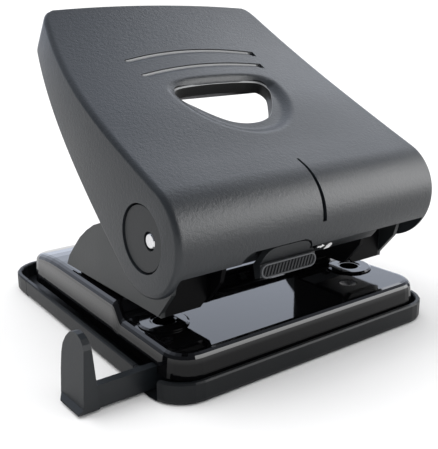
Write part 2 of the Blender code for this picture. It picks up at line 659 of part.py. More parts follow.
def handle_cover(mat):
    cover = handle_solid("handle_cover", 0.0, 0.0, HANDLE_ROUND, mat)
    hollow = handle_solid("t", HANDLE_WALL, HANDLE_WALL, 0.8, open_below=True)
    lip = tilted_prism("t", window_outline(1.9), -6, 4.4)
    cut(hollow, lip)
    cut(cover, hollow, tilted_prism("t", window_outline(), -9, 16))
    cut(cover, box("t", (0.05 - INNER_HALF, -32, 15), (INNER_HALF - 0.05, -6, NOSE_LIP_Z)))
    for side in (-1, 1):
        low, high = sorted((side * (HANDLE_HALF - 4.5), side * (HANDLE_HALF + 3)))
        cut(cover, rod("t", CAP_R, low, high, (0, CAP_Y, CAP_Z), "X", sides=48))
    cut(cover, ring_sector("t", 12, 22, 197.5, 232, LOCK_X0 - 9.4, LOCK_X1 + 0.6),
        box("t", (0.1, -14.5, 59.9), (1.7, -10, 70)))
    groove = ring_sector("t", NOSE_R - 1.3, 22, 109, 181, 0.1, 1.7, count=13)
    cut(cover, groove)
    bosses = []
    for side in (-1, 1):
        spot = [(side * SCREW_X + 3.0 * cos(2 * pi * k / 16), SCREW_Y + 3.0 * sin(2 * pi * k / 16))
                for k in range(16)]
        bosses.append(tilted_prism("t", spot, 0.3, FRAME_DEPTH - GAP))
    add(cover, *bosses)
    for side in (-1, 1):
        cut(cover, slope_rod("t", 1.5, side * SCREW_X, SCREW_Y, 1.6, 9))
    return finish(cover)


SCREW_X, SCREW_Y = 33.0, 33.0
FRAME_DEPTH = 5.0               # handle's top surface down to the steel lever frame
FRAME_T = 1.2


def slope_rod(name, radius, x, y, depth0, depth1, sides=14):
    spot = [(x + radius * cos(2 * pi * k / sides), y + radius * sin(2 * pi * k / sides) * cos(radians(SLOPE)))
            for k in range(sides)]
    a = radians(SLOPE)
    height = top_z(y)
    rings = [[(px, py + sin(a) * depth, height + (py - y) * sin(a) / cos(a) - cos(a) * depth)
              for px, py in spot] for depth in (depth1, depth0)]
    return loft(name, rings)


def frame_top(y):
    return top_z(y) - FRAME_DEPTH / cos(radians(SLOPE))


def lever_frame(mat):
    """Steel frame under the cover: a sloping plate open around the window, and an arm to each axle end."""
    ys = (2.0, 12.0, 22.0, 31.0, 40.0)
    upper = [(y, frame_top(y)) for y in ys]
    lower = [(y, frame_top(y) - FRAME_T / cos(radians(SLOPE))) for y in ys]
    plate = prism("lever_frame", upper + lower[::-1], "X", -47.6, 47.6, mat)
    for side in (-1, 1):
        taper = [(side * 44.4, 60), (side * 44.4, 33), (side * 70, 14), (side * 70, 60)]
        cut(plate, prism("t", taper, "Z", 40, 130))
    cut(plate, prism("t", [(-24, -5), (24, -5), (24, 31), (-24, 31)], "Z", 40, 130))
    web_low, web_high = TOWER_OUT + 0.4, TOWER_OUT + 1.4
    for side in (-1, 1):
        arm = arc(PIVOT_Y, PIVOT_Z, 6.0, 150, 330, 10) + [(22.0, frame_top(22.0) - 0.7), (2.2, frame_top(2.2) - 0.7)]
        low, high = sorted((side * web_low, side * web_high))
        add(plate, prism("t", arm, "X", low, high))
        cut(plate, slope_rod("t", 1.6, side * SCREW_X, SCREW_Y, 0, 14))
    cut(plate, rod("t", 2.75, -TOOL, TOOL, (0, PIVOT_Y, PIVOT_Z), "X"))
    return finish(plate)


def handle_screw(name, side, mat):
    """Screw through the lever frame into the cover's boss, square to the handle's top."""
    a = radians(SLOPE)
    x, y = side * SCREW_X, SCREW_Y
    foot = FRAME_DEPTH + FRAME_T + GAP
    start = (x, y + sin(a) * foot, top_z(y) - cos(a) * foot)
    profile = [(0, -1.3), (2.2, -1.3), (2.5, -0.9), (2.5, 0), (1.15, 0), (1.15, foot - 2.2), (0, foot - 2.2)]
    screw = turned(name, profile, (0, 0, 0), "Z", mat, 16)
    screw.rotation_euler = (a, 0, 0)
    screw.location = [c * MM for c in start]
    return finish(screw)


def pivot_axle(mat):
    axle = rod("pivot_axle", AXLE_R, -AXLE_END, AXLE_END, (0, PIVOT_Y, PIVOT_Z), "X", mat, 24,
               (0.0, PIVOT_Y, PIVOT_Z), edge=0.5)
    for side in (-1, 1):
        cut(axle, rod("t", 1.1, 30, 60, (side * PIN_X, PIVOT_Y, 0), sides=12))
    return finish(axle)


def pivot_cap(name, side, mat):
    """Round cap that fills the cheek's recess; the axle's end shows in its middle."""
    a, b, c = INNER_HALF - 0.9, INNER_HALF - GAP, HANDLE_HALF - 0.5
    profile = [(0, a), (11.2, a), (11.2, b), (CAP_R - GAP, b), (CAP_R - GAP, c - 0.3), (CAP_R - 0.6, c), (0, c)]
    if side < 0:
        profile = [(r, -h) for r, h in profile]
    cap = turned(name, profile, (0, CAP_Y, CAP_Z), "X", mat, 48, (0.0, PIVOT_Y, PIVOT_Z))
    return finish(cut(cap, rod("t", AXLE_R + 0.35, -TOOL, TOOL, (0, PIVOT_Y, PIVOT_Z), "X")))


def axle_clip(name, side, mat):
    low, high = sorted((side * 27.0, side * 28.0))
    clip = turned(name, [(2.75, low), (4.4, low), (4.4, high), (2.75, high)], (0, PIVOT_Y, PIVOT_Z), "X",
                  mat, 20, (0.0, PIVOT_Y, PIVOT_Z))
    return finish(cut(clip, box("t", (low - 1, PIVOT_Y - 1.5, PIVOT_Z), (high + 1, PIVOT_Y + 1.5, PIVOT_Z + 9))))


def press_cam(name, side, mat):
    """Finger on the axle that pushes the pin's head down."""
    tip = (PIVOT_Y + CAM_REACH * cos(radians(CAM_ANGLE)), PIVOT_Z + CAM_REACH * sin(radians(CAM_ANGLE)))
    outline = arc(*tip, CAM_TIP_R, -90, 95, 9)
    outline += arc(PIVOT_Y, PIVOT_Z, CAM_HUB_R, 95, 368, 18)
    outline.append((-4.3, tip[1] - CAM_TIP_R))
    low, high = sorted((side * (PIN_X - CAM_HALF), side * (PIN_X + CAM_HALF)))
    cam = prism(name, outline, "X", low, high, mat, (0.0, PIVOT_Y, PIVOT_Z))
    cut(cam, rod("t", 2.75, -TOOL, TOOL, (0, PIVOT_Y, PIVOT_Z), "X"),
        rod("t", 1.1, 30, 60, (side * PIN_X, PIVOT_Y, 0), sides=12))
    return finish(cam)


def cam_pin(name, side, mat):
    low, high = PIVOT_Z - CAM_HUB_R + 0.2, PIVOT_Z + CAM_HUB_R - 0.2
    return finish(rod(name, 0.8, low, high, (side * PIN_X, PIVOT_Y, 0), "Z", mat, 12, (0.0, PIVOT_Y, PIVOT_Z)))


def latch_strip(mat):
    """Curved strip inside the nose that carries the lock button, with a slot for its stem."""
    strip = ring_sector("latch_strip", 12.9, 14.2, 190, 233, -34, 30, 10, mat, (0.0, PIVOT_Y, PIVOT_Z))
    return finish(cut(strip, ring_sector("t", 11, 16, LOCK_A - 7, LOCK_A + 7, -22.3, -6.2, 4)))


def lock_button(mat):
    """Thumb button: a face flush with the nose, a ribbed pad below it and a stem to the bolt."""
    flush, back = NOSE_R - 0.1, NOSE_R - 1.9
    face = arc(NOSE_Y, NOSE_Z, flush, 198.6, 217, 5)
    pad = [(-23.6, 33.5), (-23.9, 32.2), (-22.6, 30.0), (-20.2, 28.2), (-18.8, 28.4)]
    inside = arc(NOSE_Y, NOSE_Z, back, 229, 198.6, 6)
    outline = face + pad + inside
    origin = (0.0, NOSE_Y, NOSE_Z)
    button = prism("lock_button", outline, "X", LOCK_X0, LOCK_X1, mat, origin)
    add(button, ring_sector("t", 12.6, 15.4, LOCK_A - 4.5, LOCK_A + 4.5, -13.2, -7.2, 3))
    return finish(button)


def lock_bolt(mat):
    """Steel bolt behind the latch strip; slid left, its end goes under the tower's catch tooth."""
    outline = arc(PIVOT_Y, PIVOT_Z, BOLT_R1, LOCK_A - 5, LOCK_A + 5, 4)
    outline += arc(PIVOT_Y, PIVOT_Z, BOLT_R0, LOCK_A + 5, LOCK_A - 5, 4)
    return finish(prism("lock_bolt", outline, "X", BOLT_END, 14, mat, (0.0, NOSE_Y, NOSE_Z)))


# ---- build --------------------------------------------------------------------------------------
def clear_scene():
    for obj in list(bpy.data.objects):
        bpy.data.objects.remove(obj)


def build():
    clear_scene()
    gloss = material("gloss_black", (0.012, 0.012, 0.014), 0.12)
    tower_paint = material("tower_paint", (0.045, 0.048, 0.052), 0.38)
    tray_mat = material("tray_plastic", (0.03, 0.032, 0.035), 0.5)
    guide_mat = material("guide_plastic", (0.035, 0.037, 0.04), 0.45)
    cover_mat = material("handle_plastic", (0.075, 0.082, 0.09), 0.5)
    lock_mat = material("lock_plastic", (0.02, 0.021, 0.023), 0.42)
    steel = material("bright_steel", (0.75, 0.75, 0.76), 0.25, 1.0)
    dark_steel = material("dark_steel", (0.08, 0.08, 0.085), 0.4, 0.8)

    base_plate(gloss)
    chip_tray(tray_mat)
    chip_flap(tray_mat)
    flap_pin(steel)
    paper_guide(guide_mat)
    guide_stop(steel)
    guide_keeper(dark_steel)
    handle_cover(cover_mat)
    lever_frame(dark_steel)
    pivot_axle(steel)
    latch_strip(lock_mat)
    lock_button(lock_mat)
    lock_bolt(steel)
    for side, label in ((-1, "left"), (1, "right")):
        tower(label + "_tower", side, tower_paint)
        guide_block(label + "_guide_block", side, dark_steel)
        die_bush(label + "_die_bush", side, gloss)
        axle_bush(label + "_axle_bush", side, steel)
        punch_pin(label + "_punch_pin", side, steel)
        pin_spring(label + "_pin_spring", side, steel)
        press_cam(label + "_press_cam", side, dark_steel)
        cam_pin(label + "_cam_pin", side, steel)
        axle_clip(label + "_axle_clip", side, steel)
        pivot_cap(label + "_pivot_cap", side, cover_mat)
        handle_screw(label + "_handle_screw", side, steel)
        for spot, y in zip(("front", "rear"), RIVET_YS):
            rivet(f"{label}_{spot}_rivet", side * RIVET_X, y, steel)
        for spot, (x, y) in zip(("rear", "front"), screw_places(side)):
            tray_screw(f"{label}_{spot}_screw", x, y, steel)


build()
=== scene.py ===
"""Looks of the two-hole punch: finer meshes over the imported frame, procedural materials, camera and studio.

Pieces are made in millimetres in the frame's own axes (X along the axle, Y to the rear, Z up) and
scaled to metres when their mesh is built.
"""

from math import atan2, cos, degrees, hypot, pi, radians, sin, sqrt

import bpy
from mathutils import Euler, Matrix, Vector


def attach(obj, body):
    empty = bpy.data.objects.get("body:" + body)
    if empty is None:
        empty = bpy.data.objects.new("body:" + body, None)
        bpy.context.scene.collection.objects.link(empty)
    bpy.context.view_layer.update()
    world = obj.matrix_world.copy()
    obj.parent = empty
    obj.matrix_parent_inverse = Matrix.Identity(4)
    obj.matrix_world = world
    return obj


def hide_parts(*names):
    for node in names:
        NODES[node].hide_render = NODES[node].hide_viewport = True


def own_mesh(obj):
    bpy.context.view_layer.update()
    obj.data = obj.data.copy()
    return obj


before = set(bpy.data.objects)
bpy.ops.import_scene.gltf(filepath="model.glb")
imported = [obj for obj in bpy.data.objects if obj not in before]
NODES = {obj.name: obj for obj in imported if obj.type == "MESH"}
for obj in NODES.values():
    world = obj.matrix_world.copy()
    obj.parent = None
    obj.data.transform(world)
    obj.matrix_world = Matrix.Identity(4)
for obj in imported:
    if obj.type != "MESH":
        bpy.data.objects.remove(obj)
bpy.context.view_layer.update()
MM = 0.001

# ---- dimensions shared with the frame ------------------------------------------------------------
CAP_Y, CAP_Z, CAP_R = -7.8, 44.1, 10.0
NOSE_Y, NOSE_Z, NOSE_R = -9.0, 44.5, 16.5
HANDLE_HALF, HANDLE_TAPER, HANDLE_WALL, HANDLE_ROUND, HANDLE_BOW = 51.6, 8.6, 2.0, 1.6, 2.2
INNER_HALF = HANDLE_HALF - HANDLE_WALL
NOSE_LIP_Z = 36.0
REAR_TOP, REAR_BOTTOM, REAR_ROUND = (62.5, 102.1), (70.6, 90.8), 3.6
TOP_Z, TOP_RISE, TOP_CURL = 66.6, 0.45, 7.9     # height over the pins, rise per millimetre, curl at the rear
CURL_START, CURL_LENGTH = -8.0, 72.0
SLOPE = 30.0
LOCK_X0, LOCK_X1 = -19.5, 0.5


# ---- mesh helpers --------------------------------------------------------------------------------
def make(name, verts, faces):
    mesh = bpy.data.meshes.new(name)
    mesh.from_pydata([tuple(c * MM for c in v) for v in verts], [], faces)
    mesh.update()
    obj = bpy.data.objects.new(name, mesh)
    bpy.context.scene.collection.objects.link(obj)
    bpy.context.view_layer.update()
    return outward(obj)


def outward(obj):
    """Turn the mesh inside out if its faces point in."""
    mesh = obj.data
    mesh.calc_loop_triangles()
    pts = mesh.vertices
    volume = sum(pts[t.vertices[0]].co.dot(pts[t.vertices[1]].co.cross(pts[t.vertices[2]].co))
                 for t in mesh.loop_triangles)
    if volume < 0:
        mesh.flip_normals()
    return obj


def combine(obj, tool, operation):
    mod = obj.modifiers.new("bool", "BOOLEAN")
    mod.object = tool
    mod.operation = operation
    mod.solver = "EXACT"
    graph = bpy.context.evaluated_depsgraph_get()
    mesh = bpy.data.meshes.new_from_object(obj.evaluated_get(graph))
    obj.modifiers.clear()
    obj.data = mesh
    bpy.data.objects.remove(tool)
    return obj


def cut(obj, *tools):
    for tool in tools:
        combine(obj, tool, "DIFFERENCE")
    return obj


def add(obj, *tools):
    for tool in tools:
        combine(obj, tool, "UNION")
    return obj


def loft(name, rings):
    """Join equal closed rings of points and fill both ends."""
    count = len(rings[0])
    verts = [p for ring in rings for p in ring]
    faces = []
    for k in range(len(rings) - 1):
        for i in range(count):
            j = (i + 1) % count
            faces.append((k * count + i, k * count + j, (k + 1) * count + j, (k + 1) * count + i))
    faces.append(tuple(reversed(range(count))))
    last = (len(rings) - 1) * count
    faces.append(tuple(range(last, last + count)))
    return make(name, verts, faces)


def prism(name, outline, axis, low, high):
    def place(point, level):
        a, b = point
        return {"X": (level, a, b), "Y": (a, level, b), "Z": (a, b, level)}[axis]
    return loft(name, [[place(p, level) for p in outline] for level in (low, high)])


def box(name, low, high):
    outline = [(low[0], low[1]), (high[0], low[1]), (high[0], high[1]), (low[0], high[1])]
    return prism(name, outline, "Z", low[2], high[2])


def rod(name, radius, low, high, centre, axis="Z", sides=48):
    at = {"X": (1, 2), "Y": (0, 2), "Z": (0, 1)}[axis]
    outline = [(centre[at[0]] + radius * cos(2 * pi * k / sides),
                centre[at[1]] + radius * sin(2 * pi * k / sides)) for k in range(sides)]
    return prism(name, outline, axis, low, high)


def arc(ca, cb, radius, start, end, count):
    return [(ca + radius * cos(radians(start + (end - start) * i / (count - 1))),
             cb + radius * sin(radians(start + (end - start) * i / (count - 1)))) for i in range(count)]


def inset(loop, distance):
    moved = []
    for i, p in enumerate(loop):
        a, b = loop[i - 1], loop[(i + 1) % len(loop)]
        d1, d2 = (p[0] - a[0], p[1] - a[1]), (b[0] - p[0], b[1] - p[1])
        l1, l2 = hypot(*d1), hypot(*d2)
        n1, n2 = (-d1[1] / l1, d1[0] / l1), (-d2[1] / l2, d2[0] / l2)
        scale = distance / (1 + n1[0] * n2[0] + n1[1] * n2[1])
        moved.append((p[0] + (n1[0] + n2[0]) * scale, p[1] + (n1[1] + n2[1]) * scale))
    return moved


def clamp(value, low=0.0, high=1.0):
    return max(low, min(high, value))


def smooth(value):
    t = clamp(value)
    return t * t * (3 - 2 * t)


def shade(obj, angle=32.0):
    obj.data.shade_smooth()
    obj.data.set_sharp_from_angle(angle=radians(angle))
    return obj


def place(obj, body, material, slot, *replaced):
    """Give a finished piece its material and body, and hide the nodes it stands for."""
    obj.data.materials.clear()
    obj.data.materials.append(material)
    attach(obj, body)
    if replaced:
        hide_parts(*replaced)
    return obj


# ---- handle cover --------------------------------------------------------------------------------
# angles round the nose, from the rear up and over: where the top ends, its front, where the underside starts
NOSE_START, NOSE_FRONT, NOSE_END = 114.0, 181.0, 312.0
SWELL, SWELL_START = 1.5, 200.0                 # the nose grows a little towards its underside
CROWN_TOP, CROWN_LOW, CROWN_SPLIT = (-8.0, 26.0), (22.0, 44.0), 60.0    # start and length of the crown
CROWN_REACH = 0.35                              # backward share of the crown
FAR_DROP, REAR_DROP = 60, 28                    # reach of the hollow downwards, and how much less at the rear
# each groove: left end, right end (X), rear edge's Y at left, middle and right
GROOVES = ((-27.3, 26.6, 38.8, 41.4, 39.3), (-25.7, 24.9, 31.5, 34.0, 32.7))
# across a groove: distance from its rear edge, depth
GROOVE_PROFILE = ((0.02, 0.42), (0.42, 0.8), (1.2, 0.34), (2.15, 0.2), (2.5, 0.05))
GROOVE_WIDE, GROOVE_START = 2.8, 2.2
PIT_WIDE, PIT_LONG, PIT_DEEP = 2.0, 1.7, 1.7
# right half of the finger window seen from above, from its rear edge round to its front: offset and Y
WINDOW_X, WINDOW_Y, WINDOW_HALF, WINDOW_REACH = 0.7, 16.4, 18.8, 9.8
WINDOW_EDGE = ((0.0, 26.2), (8.0, 26.0), (14.0, 25.6), (16.9, 25.0), (18.3, 23.9), (18.8, 22.3), (18.6, 20.4),
               (17.5, 18.4), (15.6, 15.8), (13.2, 12.7), (10.2, 9.8), (7.2, 7.9), (3.6, 6.8), (0.0, 6.5))
CHAMFER, LIP_DEPTH, LIP_WIDE = 0.4, 4.4, 1.9
DISH_DEEP, DISH_REACH, DISH_BACK, DISH_Y = 1.9, 22.8, 6.4, 22.3
NOTCH_TOP, NOTCH_DROP = 197.5, 14.0             # angles round the nose
NOTCH_X0, NOTCH_ROUND0 = LOCK_X0 - 9.4, 4.0
NOTCH_X1, NOTCH_ROUND1 = -2.0, 4.6
SLIT_TOP, SLIT_LOW, SLIT_DEEP = 104.0, 182.0, 1.3
OUTSIDE = 22.0                                  # radius well outside the nose, for cutting tools
COVER_FACE, PAINTED_SHADE_FACE, PAINTED_HIGHLIGHT_FACE = 0, 1, 2       # the cover's materials: its plastic, a black painted shade and a light painted highlight
WINDOW_ZONE_Y, WINDOW_ZONE_HALF = 5.5, 20
WALL_ZONE_END, WALL_ZONE_DEEP, RIM_ZONE_END = 31, 9, 28
RIM_DEPTHS, FLOOR_DEPTHS, EDGE_DEPTHS = (1.86, 2.3), (0.68, 1.4), (0.42, 0.65)
CAP_RECESS, CAP_SIDES, PAST = 4.5, 72, 3        # the pivot caps' recess, and how far a tool reaches outside


def half_width(y):
    into_corner = clamp((y - (REAR_TOP[0] - REAR_ROUND)) / REAR_ROUND)
    corner = REAR_ROUND * 0.55 * (1 - sqrt(1 - into_corner ** 2))
    return HANDLE_HALF - HANDLE_TAPER * max(0.0, (y - CURL_START) / CURL_LENGTH) ** 3 - corner


def top_z(y):
    return TOP_Z + TOP_RISE * y + TOP_CURL * max(0.0, (y - CURL_START) / CURL_LENGTH) ** 3


def nose_radius(angle):
    return NOSE_R + SWELL * smooth((angle - SWELL_START) / (NOSE_END - SWELL_START))


def on_nose(angle, radius):
    return (NOSE_Y + radius * cos(radians(angle)), NOSE_Z + radius * sin(radians(angle)))


def handle_outline(top_count, nose_count):
    """Side view with as many bottom points as top ones, and the nose's front point between them."""
    ys = [REAR_TOP[0] + (CURL_START - REAR_TOP[0]) * k / (top_count - 1) for k in range(top_count)]
    tops = [NOSE_START + (NOSE_FRONT - NOSE_START) * k / nose_count for k in range(nose_count)]
    top = [(y, top_z(y)) for y in ys] + [on_nose(a, NOSE_R) for a in tops]
    tangent = on_nose(NOSE_END, nose_radius(NOSE_END))
    low = [(REAR_BOTTOM[0] + (tangent[0] - REAR_BOTTOM[0]) * k / (top_count - 1),
            REAR_BOTTOM[1] + (tangent[1] - REAR_BOTTOM[1]) * k / (top_count - 1)) for k in range(top_count)]
    lows = [NOSE_END + (NOSE_FRONT - NOSE_END) * (k + 1) / (nose_count + 1) for k in range(nose_count)]
    low += [on_nose(a, nose_radius(a)) for a in lows]
    return top + [on_nose(NOSE_FRONT, NOSE_R)] + low[::-1]


def bowed(x, y, z):
    """The crown of the handle: early along its top, only near the rear end along its lower edges."""
    start, length = CROWN_TOP if z > CROWN_SPLIT + TOP_RISE * y else CROWN_LOW
    amount = HANDLE_BOW * smooth((y - start) / length) * (1 - (x / HANDLE_HALF) ** 2)
    return (x, y + amount * CROWN_REACH, z + amount)


def drop_underside(loop):
    """Replace the lower half of the inner outline by points far below, so that the cut leaves it open."""
    rungs = (len(loop) - 1) // 2
    lean = degrees(atan2(REAR_BOTTOM[0] - REAR_TOP[0], REAR_TOP[1] - REAR_BOTTOM[1]))
    result = list(loop)
    for i in range(rungs):
        y, z = loop[i]
        t = clamp((y - NOSE_Y) / (REAR_TOP[0] - NOSE_Y))
        a, reach = radians(lean * t), FAR_DROP - REAR_DROP * t
        result[-1 - i] = (y + sin(a) * reach, z - cos(a) * reach)
    return result


def closed_faces(count, rings, rungs):
    """Sides between the rings, and ladders of quads over both ends."""
    faces = []
    for k in range(rings - 1):
        for i in range(count):
            j = (i + 1) % count
            faces.append((k * count + i, k * count + j, (k + 1) * count + j, (k + 1) * count + i))
    for start in (0, (rings - 1) * count):
        for i in range(rungs - 1):
            rung = (start + i, start + i + 1, start + count - 2 - i, start + count - 1 - i)
            faces.append(rung if start else rung[::-1])
        tip = (start + rungs - 1, start + rungs, start + rungs + 1)
        faces.append(tip if start else tip[::-1])
    return faces


def handle_solid(name, distance, narrow, rounding, columns, counts, open_below=False, relief=None):
    """The handle's outer form, inset by a distance, with rounded side edges and columns across its half."""
    base = handle_outline(*counts)
    rungs = (len(base) - 1) // 2
    width_at = [half_width(base[i][0]) for i in range(rungs)] + [HANDLE_HALF]
    widths = width_at + width_at[:rungs][::-1]
    steps = 7
    sections = []
    for k in range(steps):
        a = radians(90 * k / (steps - 1))
        sections.append((rounding * (1 - cos(a)), distance + rounding * (1 - sin(a))))
    inner = [1 - k / columns for k in range(1, columns + 1)]
    half = [(s, 1.0) for s in sections] + [(sections[-1], f) for f in inner]
    rings = []
    loops = {s: inset(base, s[1]) for s in sections}
    if open_below:
        loops = {s: drop_underside(loop) for s, loop in loops.items()}
    for sign in (-1, 1):
        for section, factor in (half if sign < 0 else half[:-1][::-1]):
            ring = []
            for i, ((y, z), w) in enumerate(zip(loops[section], widths)):
                point = bowed(sign * (w - narrow - section[0]) * factor, y, z)
                ring.append(relief(point) if relief and i < counts[0] + 2 else point)
            rings.append(ring)
    return make(name, [p for ring in rings for p in ring], closed_faces(len(base), len(rings), rungs))


def on_top(x, y, depth):
    """A point below the handle's top, measured square to its slope."""
    a = radians(SLOPE)
    x, y, z = bowed(x, y, top_z(y))
    return (x, y + sin(a) * depth, z - cos(a) * depth)


def groove_rear(groove, x):
    """The rear edge of a groove at a place across the handle."""
    x0, x1, y_left, y_mid, y_right = groove
    t = (x - x0) / (x1 - x0)
    return y_left * (1 - t) + y_right * t + (y_mid - (y_left + y_right) / 2) * 4 * t * (1 - t)


def in_groove(x, y):
    before, behind = -3.5, 2.0
    return any(g[0] < x < g[1] - PIT_LONG and before < y - groove_rear(g, x) < behind for g in GROOVES)


def groove_tools(groove):
    """A shallow grip groove across the handle, and the small pit at its right end."""
    x0, x1 = groove[:2]
    steps, above, rings = 60, -1.0, []
    for k in range(steps + 1):
        x = x0 + (x1 - x0) * k / steps
        rear = groove_rear(groove, x)
        full = 0.45 + 0.55 * smooth((x - x0) / GROOVE_START)
        ring = [on_top(x, rear, above)]
        ring += [on_top(x, rear - across * full, depth * full) for across, depth in GROOVE_PROFILE]
        rings.append(ring + [on_top(x, rear - GROOVE_WIDE * full, above)])
    sides, half_long, half_wide = 20, PIT_LONG / 2, PIT_WIDE / 2
    turns = [2 * pi * k / sides for k in range(sides)]
    rear = groove_rear(groove, x1)
    pit = [[on_top(x1 - half_long + half_long * cos(t), rear - half_wide + half_wide * sin(t), depth)
            for t in turns] for depth in (PIT_DEEP, above)]
    return loft("t", rings), loft("t", pit)


def dish_depth(x, y):
    """The scoop around the finger window, deepest at the window's edge."""
    dx = abs(x - WINDOW_X - 0.4) / DISH_REACH
    if y < DISH_Y:
        reach = hypot(dx, (DISH_Y - y) / DISH_REACH)
    else:
        reach = (dx ** 3 + ((y - DISH_Y) / DISH_BACK) ** 3) ** (1 / 3)
    return DISH_DEEP * smooth((1.0 - reach) / (0.21 + 0.17 * smooth((y - DISH_Y) / 3)))


def relief(point):
    """A point of the cover's top, sunk by the scoop."""
    x, y, z = point
    depth = dish_depth(x, y)
    a = radians(SLOPE)
    return (x, y + sin(a) * depth, z - cos(a) * depth)


def through(before, a, b, after, t):
    """One coordinate of a smooth curve, part of the way from a to b."""
    return 0.5 * (2 * a + (b - before) * t + (2 * before - 5 * a + 4 * b - after) * t * t
                  + (3 * a - before - 3 * b + after) * t ** 3)


def between(points, fine):
    """Points of a smooth curve through a closed loop of points."""
    result, count = [], len(points)
    for i in range(count):
        near = [points[(i + k) % count] for k in (-1, 0, 1, 2)]
        result += [tuple(through(*values, k / fine) for values in zip(*near)) for k in range(fine)]
    return result


def window_outline(grow=0.0):
    """The D-shaped finger window: straight towards the rear, round towards the nose."""
    wide, deep = 1 + grow / WINDOW_HALF, 1 + grow / WINDOW_REACH
    half = [(x * wide, WINDOW_Y + (y - WINDOW_Y) * deep) for x, y in WINDOW_EDGE]
    return between([(WINDOW_X - x, y) for x, y in half] + [(WINDOW_X + x, y) for x, y in half[-2:0:-1]], 3)


def sloping_loft(name, *levels):
    """A body square to the handle's slope, from (outline, depth) pairs."""
    a = radians(SLOPE)
    return loft(name, [[(x, y + sin(a) * depth, top_z(y) - cos(a) * depth) for x, y in outline]
                       for outline, depth in levels])


def window_tool():
    """Cuts the window with a small chamfer round its rim, which follows the crowned dish."""
    rim, wall = window_outline(CHAMFER), window_outline()
    a = radians(SLOPE)

    def level(outline, depth):
        return [(x, y + sin(a) * depth, bowed(x, y, top_z(y))[2] - cos(a) * depth) for x, y in outline]
    return loft("t", [level(wall, 20), level(wall, DISH_DEEP + CHAMFER), level(rim, DISH_DEEP),
                      level(rim, -8)])


def ring_sector(name, r0, r1, a0, a1, x0, x1, count=24):
    outline = arc(NOSE_Y, NOSE_Z, r1, a0, a1, count) + arc(NOSE_Y, NOSE_Z, r0, a1, a0, count)
    return prism(name, outline, "X", x0, x1)


def notch_tool():
    """The lock's opening in the nose's lower edge, with a rounded corner at each end."""
    steps, inside, end, count = 10, 12, 236, 12
    turns = [radians(90 * k / steps) for k in range(steps + 1)]
    places = [(NOTCH_X0 + NOTCH_ROUND0 * (1 - cos(t)), NOTCH_TOP + NOTCH_DROP * (1 - sin(t))) for t in turns]
    places += [(NOTCH_X1 - NOTCH_ROUND1 + NOTCH_ROUND1 * sin(t), NOTCH_TOP + NOTCH_DROP * (1 - cos(t)))
               for t in turns]
    return loft("t", [[(x, a, b) for a, b in arc(NOSE_Y, NOSE_Z, OUTSIDE, top, end, count)
                       + arc(NOSE_Y, NOSE_Z, inside, end, top, count)] for x, top in places])


def slit_tool():
    """The narrow slit down the nose, wider towards its lower end."""
    steps, rings = 40, []
    for k in range(steps + 1):
        angle = SLIT_LOW + (SLIT_TOP - SLIT_LOW) * k / steps
        left, right = 0.3 * k / steps, 1.6 - 0.5 * k / steps
        corners = ((left, OUTSIDE), (right, OUTSIDE), (right, NOSE_R - SLIT_DEEP), (left, NOSE_R - SLIT_DEEP))
        rings.append([(x,) + on_nose(angle, radius) for x, radius in corners])
    return loft("t", rings)


def slope_depth(point):
    """How far a point of the cover lies below its crowned top, square to the slope."""
    x, y, z = (c / MM for c in point)
    return (bowed(x, y, top_z(y))[2] - z) * cos(radians(SLOPE))


def face_material(face, slope):
    """Painted shade in black for the window's wall and the grooves' upper edge, painted highlight in light
    grey for its chamfer and their floor.
    """
    x, y, z = (c / MM for c in face.center)
    facing, deep = face.normal.dot(slope), slope_depth(face.center)
    by_window = y > WINDOW_ZONE_Y and abs(x - WINDOW_X) < WINDOW_ZONE_HALF
    if by_window and y < WALL_ZONE_END and deep < WALL_ZONE_DEEP and abs(facing) < 0.15:
        return PAINTED_SHADE_FACE
    if by_window and y < RIM_ZONE_END and RIM_DEPTHS[0] < deep < RIM_DEPTHS[1] and 0.5 < facing < 0.85:
        return PAINTED_HIGHLIGHT_FACE
    if in_groove(x, y) and FLOOR_DEPTHS[0] < deep < FLOOR_DEPTHS[1]:
        return PAINTED_HIGHLIGHT_FACE
    if in_groove(x, y) and EDGE_DEPTHS[0] < deep < EDGE_DEPTHS[1] and face.normal.y < -0.7:
        return PAINTED_SHADE_FACE
    return COVER_FACE


def handle_cover(material, inside, rim):
    """The moulded shell of the handle, open below, with its window, notch, slit, grooves and cap recesses."""
    cover = handle_solid("cover", 0.0, 0.0, HANDLE_ROUND, 75, (130, 26), relief=relief)
    hollow = handle_solid("t", HANDLE_WALL + 0.2, HANDLE_WALL, 0.8, 10, (24, 16), open_below=True)
    cut(hollow, sloping_loft("t", (window_outline(LIP_WIDE), LIP_DEPTH), (window_outline(LIP_WIDE), -6)))
    cut(cover, hollow, window_tool())
    half = INNER_HALF - 0.05
    cut(cover, box("t", (-half, -32, 15), (half, -6, NOSE_LIP_Z)))
    for side in (-1, 1):
        low, high = sorted((side * (HANDLE_HALF - CAP_RECESS), side * (HANDLE_HALF + PAST)))
        cut(cover, rod("t", CAP_R, low, high, (0, CAP_Y, CAP_Z), "X", CAP_SIDES))
    cut(cover, notch_tool(), slit_tool())
    for groove in GROOVES:
        cut(cover, *groove_tools(groove))
    place(shade(cover, 28), "handle", material, "handle_plastic", "handle_cover")
    # the second material paints shade black on the window's wall and the grooves' upper edges; the third
    # paints a light highlight on the window's chamfer and the grooves' floors
    cover.data.materials.append(inside)
    cover.data.materials.append(rim)
    slope = Vector((0, -sin(radians(SLOPE)), cos(radians(SLOPE))))
    for face in cover.data.polygons:
        face.material_index = face_material(face, slope)


